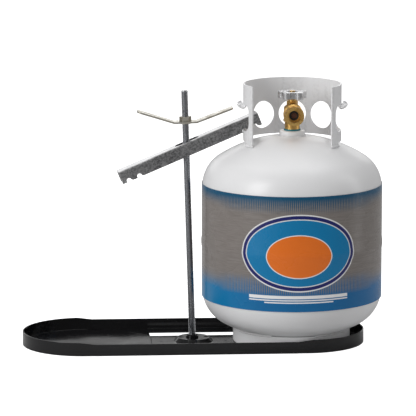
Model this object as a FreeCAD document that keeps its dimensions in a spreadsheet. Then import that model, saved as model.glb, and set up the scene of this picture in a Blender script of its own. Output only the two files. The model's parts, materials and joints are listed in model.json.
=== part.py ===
import FreeCAD, Part
import math
import os
import re
import Sketcher

# Twin propane-cylinder rack: a black steel tray with two round seats, a threaded centre rod with a
# bent-bar wing nut, a loose hold-down channel, and one 20 lb cylinder standing in the right seat.
# Origin: centre of the tray at its underside. +X along the tray, -Y to the front, +Z up. Millimetres.

doc = FreeCAD.newDocument("CylinderRack")
sheet = doc.addObject("Spreadsheet::Sheet", "sizes")

sizeTable = [
    # tray
    ("trayHalfLength", 295.8, "tray centre to its round end"),
    ("trayHalfWidth", 106.0, "tray centre to the outside of a side rail"),
    ("sheetThick", 2.0, "tray sheet"),
    ("railHeight", 20.0, "side rail height"),
    ("endHeight", 23.3, "round end rim height"),
    ("railHalfLength", 173.0, "tray centre to the end of a side rail"),
    ("stepLength", 26.0, "slope from end rim down to rail height"),
    ("flangeReach", 31.0, "rail flange, from the rail's outside inward"),
    ("flangeHalfLength", 76.0, "half the straight length of a rail flange"),
    ("bridgeHalfLength", 73.0, "tray centre to the weld between bridge and pan"),
    ("bridgeHalfWidth", 44.0, "half width of the centre bridge"),
    ("embossRadius", 34.0, "foot of the bridge's round emboss"),
    ("embossTopRadius", 27.5, "flat top of the emboss"),
    ("embossRise", 7.0, "emboss height above the bridge"),
    ("boltSpacing", 44.0, "between the two fixing holes on the emboss"),
    ("boltHoleRadius", 4.2, "fixing hole"),
    ("drainHoleRadius", 2.4, "small drain hole beside the emboss"),
    ("drainHoleX", 56.0, "tray centre to a drain hole"),
    # rod and wing nut
    ("rodRadius", 6.0, "M12 rod, over its thread crests"),
    ("rodFoot", 0.8, "rod foot above the ground, along the rod"),
    ("rodChamferSize", 1.0, "chamfer on the rod top"),
    ("rodTop", 440.5, "rod top above the ground, along the rod"),
    ("rodBaseX", -1.8, "rod centre line where it leaves the ground plane"),
    ("rodLean", 1.74, "lean of the rod towards the empty seat, degrees"),
    ("threadClear", 0.06, "radial clearance of a nut on the rod"),
    ("lockNutHigh", 5.6, "thin nut under the emboss"),
    ("nutAcrossFlats", 19.0, "base nut"),
    ("lockNutGap", 0.4, "between the lock nut and the emboss"),
    ("baseNutHigh", 4.6, "base nut height"),
    ("baseNutGap", 0.5, "between the base nut and the emboss, for the lean"),
    ("baseFlangeRadius", 11.0, "flange of the base nut"),
    ("baseFlangeHigh", 2.4, "flange height of the base nut"),
    ("wingHeight", 384.6, "underside of the wing bar along the rod"),
    ("wingSpan", 165.0, "wing bar tip to tip"),
    ("wingWide", 25.0, "wing bar width"),
    ("wingThick", 3.0, "wing bar thickness"),
    ("wingFlat", 39.0, "flat middle of the wing bar"),
    ("wingAngle", 18.9, "rise of a wing, degrees"),
    ("wingCorner", 7.0, "corner radius at a wing tip"),
    ("wingNutFlats", 18.0, "hex nut welded on the wing bar"),
    ("wingNutHigh", 8.0, "wing nut height"),
    ("washerRadius", 11.0, "washer under the wing bar"),
    ("washerThick", 1.2, "washer thickness"),
    # hold-down channel
    ("channelLength", 260.0, "hold-down channel"),
    ("channelWide", 30.0, "channel width"),
    ("channelDeep", 22.0, "channel depth over the web"),
    ("channelThick", 2.2, "channel sheet"),
    ("channelBendOuter", 3.5, "outside bend radius of the channel"),
    ("channelBendInner", 1.5, "inside bend radius of the channel"),
    ("channelTilt", 22.2, "channel slope, right end up, degrees"),
    ("channelYaw", 5.0, "channel turned about the rod, degrees"),
    ("channelHeight", 352.0, "top of the channel's web at the rod"),
    ("channelX", -11.2, "channel middle"),
    ("notchFirst", 12.0, "first notch from the channel end"),
    ("notchPitch", 19.5, "between the two notches"),
    ("notchRadius", 4.2, "notch"),
    ("notchLip", 5.0, "slope at a notch's mouth, along the channel"),
    ("slotLength", 44.0, "rod slot in the web"),
    ("slotWide", 15.0, "rod slot width"),
    # cylinder
    ("seatX", 170.3, "tray centre to a seat's centre"),
    ("tankRadius", 155.0, "20 lb cylinder, outside"),
    ("tankWall", 2.6, "shell sheet"),
    ("girthHeight", 177.0, "girth weld above the ground"),
    ("weldHalf", 3.5, "half width of the girth weld"),
    ("weldRise", 1.0, "weld crown above the shell"),
    ("upperTangent", 273.0, "start of the upper head"),
    ("lowerTangent", 93.0, "start of the lower head"),
    ("knuckle", 62.0, "knuckle radius of both heads"),
    ("upperCrown", 236.0, "crown radius of the upper head"),
    ("lowerCrown", 262.0, "crown radius of the lower head"),
    ("labelBottom", 82.5, "lower edge of the label"),
    ("labelTop", 279.5, "upper edge of the label"),
    ("labelThick", 0.3, "label film"),
    ("labelGap", 0.3, "between the label film and the shell"),
    ("weldGap", 0.3, "left between two sheets before welding"),
    ("footRadius", 101.3, "foot ring, outside"),
    ("footThick", 2.8, "foot ring sheet"),
    ("footLip", 7.0, "inward lip at the foot ring's bottom"),
    # collar
    ("collarRadius", 84.5, "collar, outside"),
    ("collarThick", 2.4, "collar sheet"),
    ("collarTop", 451.0, "collar top"),
    ("collarBottom", 353.0, "lower edge of the collar band"),
    ("collarGap", 107.0, "open front of the collar, degrees"),
    ("collarTurn", -5.0, "collar turned about the cylinder, degrees"),
    ("portRadius", 23.6, "round collar hole"),
    ("portHeight", 387.5, "centre of the round collar holes"),
    ("portSpacing", 38.5, "between round collar holes, degrees"),
    ("handHalfWidth", 40.0, "half width of a hand hole"),
    ("handBottom", 371.0, "lower edge of a hand hole"),
    ("handTop", 419.0, "upper edge of a hand hole"),
    ("handCorner", 16.0, "corner radius of a hand hole"),
    ("gripReach", 11.0, "how far the hand hole's rolled grip stands out"),
    ("gripSweep", 38.0, "length of a grip round the collar, degrees"),
    ("legWide", 15.0, "width of a collar leg, degrees"),
    ("rearLegTurn", 58.0, "rear middle of the collar to a rear leg, degrees"),
    # valve
    ("bossRadius", 22.0, "valve boss on the upper head"),
    ("bossTop", 370.0, "top of the boss"),
    ("bossNeck", 15.7, "boss neck through the head"),
    ("valveThread", 11.5, "valve's tapered thread in the boss, as a plain stem"),
    ("valveNeck", 13.0, "valve neck above the boss"),
    ("valveBlock", 14.5, "valve body radius"),
    ("outletHeight", 400.0, "outlet centre line"),
    ("outletRadius", 16.6, "outlet over its outside thread"),
    ("outletBore", 10.6, "outlet bore"),
    ("outletReach", 47.0, "outlet face in front of the valve's centre line"),
    ("outletNeck", 12.6, "outlet arm behind its thread"),
    ("outletRoot", 14.0, "where the outlet thread starts, in front of the centre line"),
    ("outletDepth", 24.0, "depth of the outlet bore and the check valve's bore behind it"),
    ("moduleDepth", 12.0, "outlet face to the check valve"),
    ("moduleRadius", 8.4, "bore of the check valve"),
    ("valveTop", 413.0, "top of the valve body"),
    ("bonnetRadius", 9.8, "packing nut"),
    ("bonnetTop", 424.0, "top of the packing nut"),
    ("stemRadius", 4.0, "valve stem"),
    ("wheelRadius", 25.4, "handwheel over its lobes"),
    ("wheelLobe", 7.6, "lobe radius"),
    ("wheelBottom", 425.4, "handwheel underside"),
    ("wheelTop", 437.0, "handwheel top"),
    ("wheelDishRadius", 9.5, "recess in the handwheel top"),
    ("wheelDishDeep", 2.2, "depth of that recess"),
    ("screwRadius", 4.8, "handwheel screw head"),
    ("screwThread", 2.04, "handwheel screw thread, as a plain shank"),
    ("reliefRadius", 8.5, "relief valve arm"),
    ("reliefReach", 27.0, "relief arm behind the valve's centre line"),
    ("reliefBore", 5.5, "relief valve bore"),
    ("reliefDepth", 13.0, "depth of the relief bore"),
    ("sealHigh", 2.6, "coloured thread seal showing above the boss"),
    ("passageRadius", 4.0, "gas passage below the seat"),
    ("chamberRadius", 6.5, "chamber above the seat"),
    ("tangRadius", 2.5, "stem tang in the plug"),
    ("driveRadius", 3.2, "stem end in the handwheel"),
    ("poppetRadius", 4.6, "nose of the outlet's check poppet"),
    ("poppetSink", 0.3, "check poppet behind the front of its bore"),
    ("springWire", 0.45, "spring wire radius"),
    ("bleedRadius", 2.2, "bleed screw shank"),
    ("bleedHeight", 386.0, "bleed screw axis"),
    ("bleedTurn", 135.0, "bleed screw direction, from +X towards the rear, degrees"),
    ("bleedFace", 14.5, "flat under the bleed screw head, from the valve centre line"),
    ("bleedHead", 3.4, "bleed screw head radius"),
    ("bleedHeadHigh", 2.6, "bleed screw head height"),
    ("bleedShank", 6.5, "bleed screw shank length under its head"),
    ("dipRadius", 2.4, "dip tube"),
    ("dipX", 7.7, "dip tube beside the valve's centre line"),
    ("dipLength", 62.0, "dip tube length"),
]

for row, (alias, value, note) in enumerate(sizeTable, start=1):
    sheet.set("A%d" % row, note)
    sheet.set("B%d" % row, str(value))
    sheet.setAlias("B%d" % row, alias)
doc.recompute()

aliasNames = [entry[0] for entry in sizeTable]
aliasPattern = re.compile(r"\b(" + "|".join(sorted(aliasNames, key=len, reverse=True)) + r")\b")


def link(formula):
    """A formula in plain alias names, as an expression on the sheet."""
    return aliasPattern.sub(r"sizes.\1", str(formula))


def number(formula):
    """The present value of a formula."""
    result = sheet.evalExpression(link(formula))
    return float(getattr(result, "Value", result))


def bind(obj, prop, formula):
    obj.setExpression(prop, link(formula))


parts = []


def keep(obj, label):
    """Names a finished sub-part."""
    obj.Label = label
    parts.append(obj)
    return obj


def place(obj, x="0", y="0", z="0", axis=(0, 0, 1), turn="0"):
    """Puts an object down; every number stays bound to the sheet."""
    obj.Placement = FreeCAD.Placement(FreeCAD.Vector(number(x), number(y), number(z)),
                                      FreeCAD.Rotation(FreeCAD.Vector(*axis), number(turn) or 1e-9))
    bind(obj, "Placement.Base.x", x)
    bind(obj, "Placement.Base.y", y)
    bind(obj, "Placement.Base.z", z)
    if str(turn) != "0":
        bind(obj, "Placement.Rotation.Angle", turn)
    return obj


def newBody(name):
    return doc.addObject("PartDesign::Body", name)


def sketchOn(body, name, role, lift="0"):
    sketch = body.newObject("Sketcher::SketchObject", name)
    plane = [feature for feature in body.Origin.OriginFeatures if feature.Role == role][0]
    sketch.AttachmentSupport = (plane, [""])
    sketch.MapMode = "FlatFace"
    if str(lift) != "0":
        sketch.AttachmentOffset = FreeCAD.Placement(FreeCAD.Vector(0, 0, number(lift)), FreeCAD.Rotation())
        bind(sketch, "AttachmentOffset.Base.z", lift)
    return sketch


def fixPoint(sketch, index, end, x, y):
    for kind, formula in (("DistanceX", x), ("DistanceY", y)):
        value = number(formula)
        if abs(value) < 1e-9:
            # a point on an axis is held by that axis
            axisIndex = -2 if kind == "DistanceX" else -1
            sketch.addConstraint(Sketcher.Constraint("PointOnObject", index, end, axisIndex))
            continue
        held = sketch.addConstraint(Sketcher.Constraint(kind, -1, 1, index, end, value))
        sketch.setExpression("Constraints[%d]" % held, link(formula))


def outline(sketch, corners):
    """Closed outline. A corner is (x, y), or (x, y, radius, side) when an arc leaves it;
    side is +1 when the arc's centre lies to the left of the way to the next corner."""
    points = [FreeCAD.Vector(number(c[0]), number(c[1]), 0) for c in corners]
    first = sketch.GeometryCount
    count = len(corners)
    for i, corner in enumerate(corners):
        start = points[i]
        stop = points[(i + 1) % count]
        if len(corner) == 2:
            sketch.addGeometry(Part.LineSegment(start, stop), False)
            continue
        radius = number(corner[2])
        chord = stop - start
        half = chord.Length / 2
        left = FreeCAD.Vector(-chord.y, chord.x, 0).normalize()
        rise = math.sqrt(max(radius * radius - half * half, 0.0))
        centre = (start + stop) * 0.5 + left * (rise * corner[3])
        a = math.atan2(start.y - centre.y, start.x - centre.x)
        b = math.atan2(stop.y - centre.y, stop.x - centre.x)
        circle = Part.Circle(centre, FreeCAD.Vector(0, 0, 1), radius)
        if corner[3] > 0:
            sketch.addGeometry(Part.ArcOfCircle(circle, a, b if b > a else b + 2 * math.pi), False)
        else:
            sketch.addGeometry(Part.ArcOfCircle(circle, b, a if a > b else a + 2 * math.pi), False)
    # an arc drawn the other way round has its ends swapped
    startEnd = [2 if len(c) == 4 and c[3] < 0 else 1 for c in corners]
    for i, corner in enumerate(corners):
        nextOne = (i + 1) % count
        sketch.addConstraint(Sketcher.Constraint("Coincident", first + i, 3 - startEnd[i],
                                                 first + nextOne, startEnd[nextOne]))
    for i, corner in enumerate(corners):
        fixPoint(sketch, first + i, startEnd[i], corner[0], corner[1])
        if len(corner) == 4:
            size = sketch.addConstraint(Sketcher.Constraint("Radius", first + i, number(corner[2])))
            sketch.setExpression("Constraints[%d]" % size, link(corner[2]))
    return sketch


def ring(sketch, x, y, radius):
    """A circle in a sketch."""
    circle = Part.Circle(FreeCAD.Vector(number(x), number(y), 0), FreeCAD.Vector(0, 0, 1), number(radius))
    index = sketch.addGeometry(circle, False)
    fixPoint(sketch, index, 3, x, y)
    size = sketch.addConstraint(Sketcher.Constraint("Radius", index, number(radius)))
    sketch.setExpression("Constraints[%d]" % size, link(radius))
    return index


def pad(body, sketch, length, middle=False):
    feature = body.newObject("PartDesign::Pad", body.Name + "Pad")
    feature.Profile = sketch
    feature.Length = number(length)
    bind(feature, "Length", length)
    if middle:
        feature.SideType = "Symmetric"
    return feature


def pocket(body, sketch, length, middle=False):
    doc.recompute()
    before = body.Shape.Volume
    feature = body.newObject("PartDesign::Pocket", body.Name + "Pocket")
    feature.Profile = sketch
    feature.Length = number(length)
    bind(feature, "Length", length)
    if middle:
        feature.SideType = "Symmetric"
    doc.recompute()
    if abs(body.Shape.Volume - before) < 1e-6:
        feature.Reversed = True
        doc.recompute()
    return feature


def turned(name, corners):
    """A body of revolution about Z from an outline of (radius, height) corners."""
    body = newBody(name)
    sketch = outline(sketchOn(body, name + "Profile", "XZ_Plane"), corners)
    feature = body.newObject("PartDesign::Revolution", name + "Turn")
    feature.Profile = sketch
    feature.ReferenceAxis = (sketch, ["V_Axis"])
    feature.Angle = 360
    return body


def cylinder(name, radius, high, angle=None):
    tool = doc.addObject("Part::Cylinder", name)
    bind(tool, "Radius", radius)
    bind(tool, "Height", high)
    if angle is not None:
        bind(tool, "Angle", angle)
    return tool


def hexagon(name, flats, high):
    """A hexagonal prism; flats is the size across its flats."""
    prism = doc.addObject("Part::Prism", name)
    prism.Polygon = 6
    bind(prism, "Circumradius", "(%s) / 2 / cos(30)" % flats)
    bind(prism, "Height", high)
    return prism


def block(name, x, y, z):
    """A box with its centre of area at its own origin in X and Y, standing on Z = 0."""
    box = doc.addObject("Part::Box", name)
    bind(box, "Length", x)
    bind(box, "Width", y)
    bind(box, "Height", z)
    return box


def cut(name, base, tool):
    result = doc.addObject("Part::Cut", name)
    result.Base = base
    result.Tool = tool
    return result


def fuse(name, pieces):
    result = doc.addObject("Part::MultiFuse", name)
    result.Shapes = pieces
    return result


def onRod(obj, along="0"):
    """Puts an object on the leaning rod, at a distance along it from the ground plane."""
    return place(obj, "rodBaseX - (%s) * sin(rodLean)" % along, "0", "(%s) * cos(rodLean)" % along,
                 (0, -1, 0), "rodLean")


def onTank(obj):
    return place(obj, "seatX")


# ---------------------------------------------------------------- tray

endCentreX = "(trayHalfLength - trayHalfWidth)"
insideY = "(trayHalfWidth - sheetThick)"


def buildPan(name, side):
    """One round end: its floor, tapering to the bridge, and the rim wall around it."""
    def x(formula):
        return "%d * (%s)" % (side, formula)

    body = newBody(name)
    turnWay = side
    floor = outline(sketchOn(body, name + "Floor", "XY_Plane"), [
        (x("bridgeHalfLength"), "-bridgeHalfWidth"),
        (x("flangeHalfLength"), "-" + insideY),
        (x("railHalfLength"), "-" + insideY),
        (x("railHalfLength"), "-trayHalfWidth"),
        (x(endCentreX), "-trayHalfWidth", "trayHalfWidth", turnWay),
        (x("trayHalfLength"), "0", "trayHalfWidth", turnWay),
        (x(endCentreX), "trayHalfWidth"),
        (x("railHalfLength"), "trayHalfWidth"),
        (x("railHalfLength"), insideY),
        (x("flangeHalfLength"), insideY),
        (x("bridgeHalfLength"), "bridgeHalfWidth"),
    ])
    pad(body, floor, "sheetThick")
    wall = outline(sketchOn(body, name + "Wall", "XY_Plane"), [
        (x("railHalfLength"), "-trayHalfWidth"),
        (x(endCentreX), "-trayHalfWidth", "trayHalfWidth", turnWay),
        (x("trayHalfLength"), "0", "trayHalfWidth", turnWay),
        (x(endCentreX), "trayHalfWidth"),
        (x("railHalfLength"), "trayHalfWidth"),
        (x("railHalfLength"), insideY),
        (x(endCentreX), insideY, insideY, -turnWay),
        (x("trayHalfLength - sheetThick"), "0", insideY, -turnWay),
        (x(endCentreX), "-" + insideY),
        (x("railHalfLength"), "-" + insideY),
    ])
    pad(body, wall, "endHeight")
    step = outline(sketchOn(body, name + "Step", "XZ_Plane"), [
        (x("railHalfLength - 1"), "railHeight"),
        (x("railHalfLength"), "railHeight"),
        (x("railHalfLength + stepLength"), "endHeight"),
        (x("railHalfLength + stepLength"), "endHeight + 1"),
        (x("railHalfLength - 1"), "endHeight + 1"),
    ])
    pocket(body, step, "2 * trayHalfWidth + 10", True)
    return keep(body, name)


def buildRail(name, side):
    """A straight side rail: wall and inward flange, bent from one strip."""
    def y(formula):
        return "%d * (%s)" % (side, formula)

    body = newBody(name)
    wall = outline(sketchOn(body, name + "Wall", "XY_Plane"), [
        ("-railHalfLength", y("trayHalfWidth")),
        ("railHalfLength", y("trayHalfWidth")),
        ("railHalfLength", y(insideY)),
        ("-railHalfLength", y(insideY)),
    ])
    pad(body, wall, "railHeight")
    slopeRun = "(bridgeHalfLength - flangeHalfLength) / (bridgeHalfWidth - (%s))" % insideY
    flangeInner = "(trayHalfWidth - flangeReach)"
    flangeEnd = "flangeHalfLength + (%s - (%s)) * %s" % (flangeInner, insideY, slopeRun)
    flange = outline(sketchOn(body, name + "Flange", "XY_Plane"), [
        ("-flangeHalfLength", y(insideY)),
        ("flangeHalfLength", y(insideY)),
        (flangeEnd, y(flangeInner)),
        ("-(%s)" % flangeEnd, y(flangeInner)),
    ])
    pad(body, flange, "sheetThick")
    return keep(body, name)


def buildBridge():
    """The plate between the pans, with a round emboss that makes room for the rod's lock nut."""
    plate = place(block("bridgePlate", "2 * bridgeHalfLength", "2 * bridgeHalfWidth", "sheetThick"),
                  "-bridgeHalfLength", "-bridgeHalfWidth")
    dome = doc.addObject("Part::Cone", "bridgeDome")
    bind(dome, "Radius1", "embossRadius")
    bind(dome, "Radius2", "embossTopRadius")
    bind(dome, "Height", "embossRise")
    place(dome, "0", "0", "sheetThick")
    hollow = doc.addObject("Part::Cone", "bridgeHollow")
    bind(hollow, "Radius1", "embossRadius")
    bind(hollow, "Radius2", "embossTopRadius")
    bind(hollow, "Height", "embossRise")
    place(hollow)
    holes = []
    places = [("rodBaseX", "rodRadius + 1"),
              ("-boltSpacing / 2", "boltHoleRadius"), ("boltSpacing / 2", "boltHoleRadius"),
              ("-drainHoleX", "drainHoleRadius"), ("drainHoleX", "drainHoleRadius")]
    for i, (x, radius) in enumerate(places):
        holes.append(place(cylinder("bridgeHole%d" % i, radius, "embossRise + 4 * sheetThick"), x))
    plateCut = cut("bridgeSheet", fuse("bridgeStock", [plate, dome]), fuse("bridgeTools", [hollow] + holes))
    return keep(place(plateCut), "centre_bridge")


for panName, panSide in (("left_pan", -1), ("right_pan", 1)):
    buildPan(panName, panSide)
for railName, railSide in (("front_rail", -1), ("rear_rail", 1)):
    buildRail(railName, railSide)
buildBridge()

# ---------------------------------------------------------------- rod, wing nut, hold-down channel

embossTop = "(sheetThick + embossRise)"
rod = cylinder("rodStock", "rodRadius", "rodTop - rodFoot")
chamfer = doc.addObject("Part::Chamfer", "rodChamfer")
doc.recompute()
chamfer.Base = rod
topEdge = [i + 1 for i, edge in enumerate(rod.Shape.Edges)
           if edge.Closed and edge.BoundBox.ZMin > 100][0]
chamfer.Edges = [(topEdge, number("rodChamferSize"), number("rodChamferSize"))]
keep(onRod(chamfer, "rodFoot"), "threaded_rod")


def nutOnRod(name, flats, high, along, extras=()):
    """A hex nut with a plain bore, coaxial with the leaning rod."""
    stock = [hexagon(name + "Hex", flats, high)] + list(extras)
    solid = fuse(name + "Stock", stock) if len(stock) > 1 else stock[0]
    bore = cylinder(name + "Bore", "rodRadius + threadClear", "(%s) + 20" % high)
    place(bore, "0", "0", "-5")
    return keep(onRod(cut(name, solid, bore), along), name)


nutOnRod("rod_lock_nut", "nutAcrossFlats - 1", "lockNutHigh", "embossRise - lockNutHigh - lockNutGap")
baseFlange = cylinder("rodBaseFlange", "baseFlangeRadius", "baseFlangeHigh")
nutOnRod("rod_base_nut", "nutAcrossFlats - 3", "baseNutHigh", embossTop + " + baseNutGap", [baseFlange])
nutOnRod("wing_hex_nut", "wingNutFlats", "wingNutHigh", "wingHeight + wingThick")

washer = cut("wing_washer", cylinder("washerDisc", "washerRadius", "washerThick"),
             cylinder("washerBore", "rodRadius + 0.5", "washerThick"))
keep(onRod(washer, "wingHeight - washerThick"), "wing_washer")

wing = newBody("wing_bar")
armReach = "(wingSpan / 2)"
flatHalf = "(wingFlat / 2)"
tipRise = "(%s - %s) * tan(wingAngle)" % (armReach, flatHalf)
slant = "wingThick / cos(wingAngle)"
tipShift = "wingThick * sin(wingAngle)"
kink = "wingThick * tan(wingAngle / 2)"
wingSketch = outline(sketchOn(wing, "wingProfile", "XZ_Plane"), [
    ("-" + flatHalf, "0"),
    (flatHalf, "0"),
    (armReach, tipRise),
    ("%s - %s" % (armReach, tipShift), "%s + wingThick * cos(wingAngle)" % tipRise),
    ("%s - %s" % (flatHalf, kink), "wingThick"),
    ("-%s + %s" % (flatHalf, kink), "wingThick"),
    ("-%s + %s" % (armReach, tipShift), "%s + wingThick * cos(wingAngle)" % tipRise),
    ("-" + armReach, tipRise),
])
pad(wing, wingSketch, "wingWide", True)
wingHole = sketchOn(wing, "wingHole", "XY_Plane")
ring(wingHole, "0", "0", "rodRadius + threadClear")
pocket(wing, wingHole, "20", True)
# rounded tips, cut by a stadium seen from above
wingRound = sketchOn(wing, "wingTips", "XY_Plane")
outline(wingRound, [
    ("-%s + wingCorner" % armReach, "-wingWide / 2"),
    ("%s - wingCorner" % armReach, "-wingWide / 2", "wingCorner", 1),
    (armReach, "-wingWide / 2 + wingCorner"),
    (armReach, "wingWide / 2 - wingCorner", "wingCorner", 1),
    ("%s - wingCorner" % armReach, "wingWide / 2"),
    ("-%s + wingCorner" % armReach, "wingWide / 2", "wingCorner", 1),
    ("-" + armReach, "wingWide / 2 - wingCorner"),
    ("-" + armReach, "-wingWide / 2 + wingCorner", "wingCorner", 1),
])
outline(wingRound, [
    ("-%s - 5" % armReach, "-wingWide"),
    ("%s + 5" % armReach, "-wingWide"),
    ("%s + 5" % armReach, "wingWide"),
    ("-%s - 5" % armReach, "wingWide"),
])
pocket(wing, wingRound, "200", True)
keep(onRod(wing, "wingHeight"), "wing_bar")

channel = newBody("hold_down_bar")
halfWide = "(channelWide / 2)"
section = outline(sketchOn(channel, "channelSection", "YZ_Plane"), [
    ("-" + halfWide, "-channelDeep"),
    ("-%s + channelThick" % halfWide, "-channelDeep"),
    ("-%s + channelThick" % halfWide, "-channelThick - channelBendInner", "channelBendInner", -1),
    ("-%s + channelThick + channelBendInner" % halfWide, "-channelThick"),
    ("%s - channelThick - channelBendInner" % halfWide, "-channelThick", "channelBendInner", -1),
    ("%s - channelThick" % halfWide, "-channelThick - channelBendInner"),
    ("%s - channelThick" % halfWide, "-channelDeep"),
    (halfWide, "-channelDeep"),
    (halfWide, "-channelBendOuter", "channelBendOuter", 1),
    ("%s - channelBendOuter" % halfWide, "0"),
    ("-%s + channelBendOuter" % halfWide, "0", "channelBendOuter", 1),
    ("-" + halfWide, "-channelBendOuter"),
])
pad(channel, section, "channelLength", True)
slotSketch = sketchOn(channel, "channelSlot", "XY_Plane")
slotEnd = "(slotLength / 2 - slotWide / 2)"
outline(slotSketch, [
    ("-" + slotEnd, "-slotWide / 2"),
    (slotEnd, "-slotWide / 2", "slotWide / 2", 1),
    ("slotLength / 2", "0", "slotWide / 2", 1),
    (slotEnd, "slotWide / 2"),
    ("-" + slotEnd, "slotWide / 2", "slotWide / 2", 1),
    ("-slotLength / 2", "0", "slotWide / 2", 1),
])
pocket(channel, slotSketch, "channelThick * 4", True)
notchSketch = sketchOn(channel, "channelNotches", "XZ_Plane")
for notchSide in (-1, 1):
    for order in (0, 1):
        # each notch is a round seat with a sloped way in on its right
        middle = "%d * (channelLength / 2 - notchFirst - %d * notchPitch)" % (notchSide, order)
        steep = "%s - notchRadius" % middle
        sloped = "%s + notchRadius" % middle
        outline(notchSketch, [
            (steep, "-channelDeep - 1"),
            (sloped + " + notchLip", "-channelDeep - 1"),
            (sloped, "-channelDeep + 2", "notchRadius", 1),
            (middle, "-channelDeep + 2 + notchRadius", "notchRadius", 1),
            (steep, "-channelDeep + 2"),
        ])
pocket(channel, notchSketch, "channelWide * 2", True)
# turned about the rod, then tilted: two turns in one rotation
tiltTurn = FreeCAD.Rotation(FreeCAD.Vector(0, 0, 1), number("channelYaw")).multiply(
    FreeCAD.Rotation(FreeCAD.Vector(0, -1, 0), number("channelTilt")))
channel.Placement = FreeCAD.Placement(
    FreeCAD.Vector(number("channelX"), 0, number("channelHeight")), tiltTurn)
bind(channel, "Placement.Base.x", "channelX")
bind(channel, "Placement.Base.z", "channelHeight")
keep(channel, "hold_down_bar")

# ---------------------------------------------------------------- cylinder shells

flatRadius = "(tankRadius - knuckle)"
upperCentre = "(upperTangent - sqrt((upperCrown - knuckle)^2 - %s^2))" % flatRadius
lowerCentre = "(lowerTangent + sqrt((lowerCrown - knuckle)^2 - %s^2))" % flatRadius


def headPoint(crown, centre, sign, offset="0"):
    """Where the crown arc meets the knuckle arc, at a distance inside the outer face."""
    radius = "((%s) * (%s - (%s)) / (%s - knuckle))" % (flatRadius, crown, offset, crown)
    rise = "sqrt((%s - (%s))^2 - %s^2)" % (crown, offset, radius)
    return radius, "%s %s %s" % (centre, sign, rise)


def headApex(crown, centre, sign, hole, offset="0"):
    return "%s %s sqrt((%s - (%s))^2 - (%s)^2)" % (centre, sign, crown, offset, hole)


upperHole = "(bossNeck + weldGap)"
upOut = headPoint("upperCrown", upperCentre, "+")
upIn = headPoint("upperCrown", upperCentre, "+", "tankWall")
upperShell = turned("upper_shell", [
    ("tankRadius", "girthHeight + weldHalf"),
    ("tankRadius", "upperTangent", "knuckle", 1),
    (upOut[0], upOut[1], "upperCrown", 1),
    (upperHole, headApex("upperCrown", upperCentre, "+", upperHole)),
    (upperHole, headApex("upperCrown", upperCentre, "+", upperHole, "tankWall"),
     "upperCrown - tankWall", -1),
    (upIn[0], upIn[1], "knuckle - tankWall", -1),
    ("tankRadius - tankWall", "upperTangent"),
    ("tankRadius - tankWall", "girthHeight + weldHalf"),
])
keep(onTank(upperShell), "upper_shell")

lowOut = headPoint("lowerCrown", lowerCentre, "-")
lowIn = headPoint("lowerCrown", lowerCentre, "-", "tankWall")
lowerShell = turned("lower_shell", [
    ("tankRadius", "girthHeight - weldHalf"),
    ("tankRadius", "lowerTangent", "knuckle", -1),
    (lowOut[0], lowOut[1], "lowerCrown", -1),
    ("0", headApex("lowerCrown", lowerCentre, "-", "0")),
    ("0", headApex("lowerCrown", lowerCentre, "-", "0", "tankWall"), "lowerCrown - tankWall", 1),
    (lowIn[0], lowIn[1], "knuckle - tankWall", 1),
    ("tankRadius - tankWall", "lowerTangent"),
    ("tankRadius - tankWall", "girthHeight - weldHalf"),
])
keep(onTank(lowerShell), "lower_shell")

weld = turned("girth_weld", [
    ("tankRadius - tankWall", "girthHeight - weldHalf"),
    ("tankRadius", "girthHeight - weldHalf"),
    ("tankRadius + weldRise", "girthHeight - weldHalf / 2"),
    ("tankRadius + weldRise", "girthHeight + weldHalf / 2"),
    ("tankRadius", "girthHeight + weldHalf"),
    ("tankRadius - tankWall", "girthHeight + weldHalf"),
])
keep(onTank(weld), "girth_weld")

labelIn = "(tankRadius + labelGap)"
labelOut = "(tankRadius + labelGap + labelThick)"
label = turned("label_wrap", [
    (labelIn, "labelBottom"),
    (labelOut, "labelBottom"),
    (labelOut, "girthHeight - 3 * weldHalf"),
    (labelOut + " + weldRise", "girthHeight - weldHalf"),
    (labelOut + " + weldRise", "girthHeight + weldHalf"),
    (labelOut, "girthHeight + 3 * weldHalf"),
    (labelOut, "labelTop"),
    (labelIn, "labelTop"),
    (labelIn, "girthHeight + 3 * weldHalf"),
    (labelIn + " + weldRise", "girthHeight + weldHalf"),
    (labelIn + " + weldRise", "girthHeight - weldHalf"),
    (labelIn, "girthHeight - 3 * weldHalf"),
])
keep(onTank(label), "label_wrap")

footIn = "(footRadius - footThick)"
footTop = "(" + headApex("lowerCrown", lowerCentre, "-", footIn) + " - 0.1)"
foot = turned("foot_ring", [
    ("footRadius - footLip", "sheetThick"),
    ("footRadius - footThick", "sheetThick", "footThick", 1),
    ("footRadius", "sheetThick + footThick"),
    ("footRadius", footTop),
    (footIn, footTop),
    (footIn, "sheetThick + footThick"),
    ("footRadius - footLip", "sheetThick + footThick"),
])
keep(onTank(foot), "foot_ring")

# ---------------------------------------------------------------- collar

collarSweep = "(360 - collarGap)"
collarStart = "(-90 + collarGap / 2 + collarTurn)"


def sector(name, radius, bottom, high, start, sweep):
    """A wedge of a solid cylinder between two angles."""
    return place(cylinder(name, radius, high, sweep), "0", "0", bottom, (0, 0, 1), start)


def band(name, outer, inner, bottom, high, start, sweep):
    return cut(name, sector(name + "Outer", outer, bottom, high, start, sweep),
               place(cylinder(name + "Inner", inner, "(%s) + 20" % high), "0", "0", "(%s) - 10" % bottom))


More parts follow.
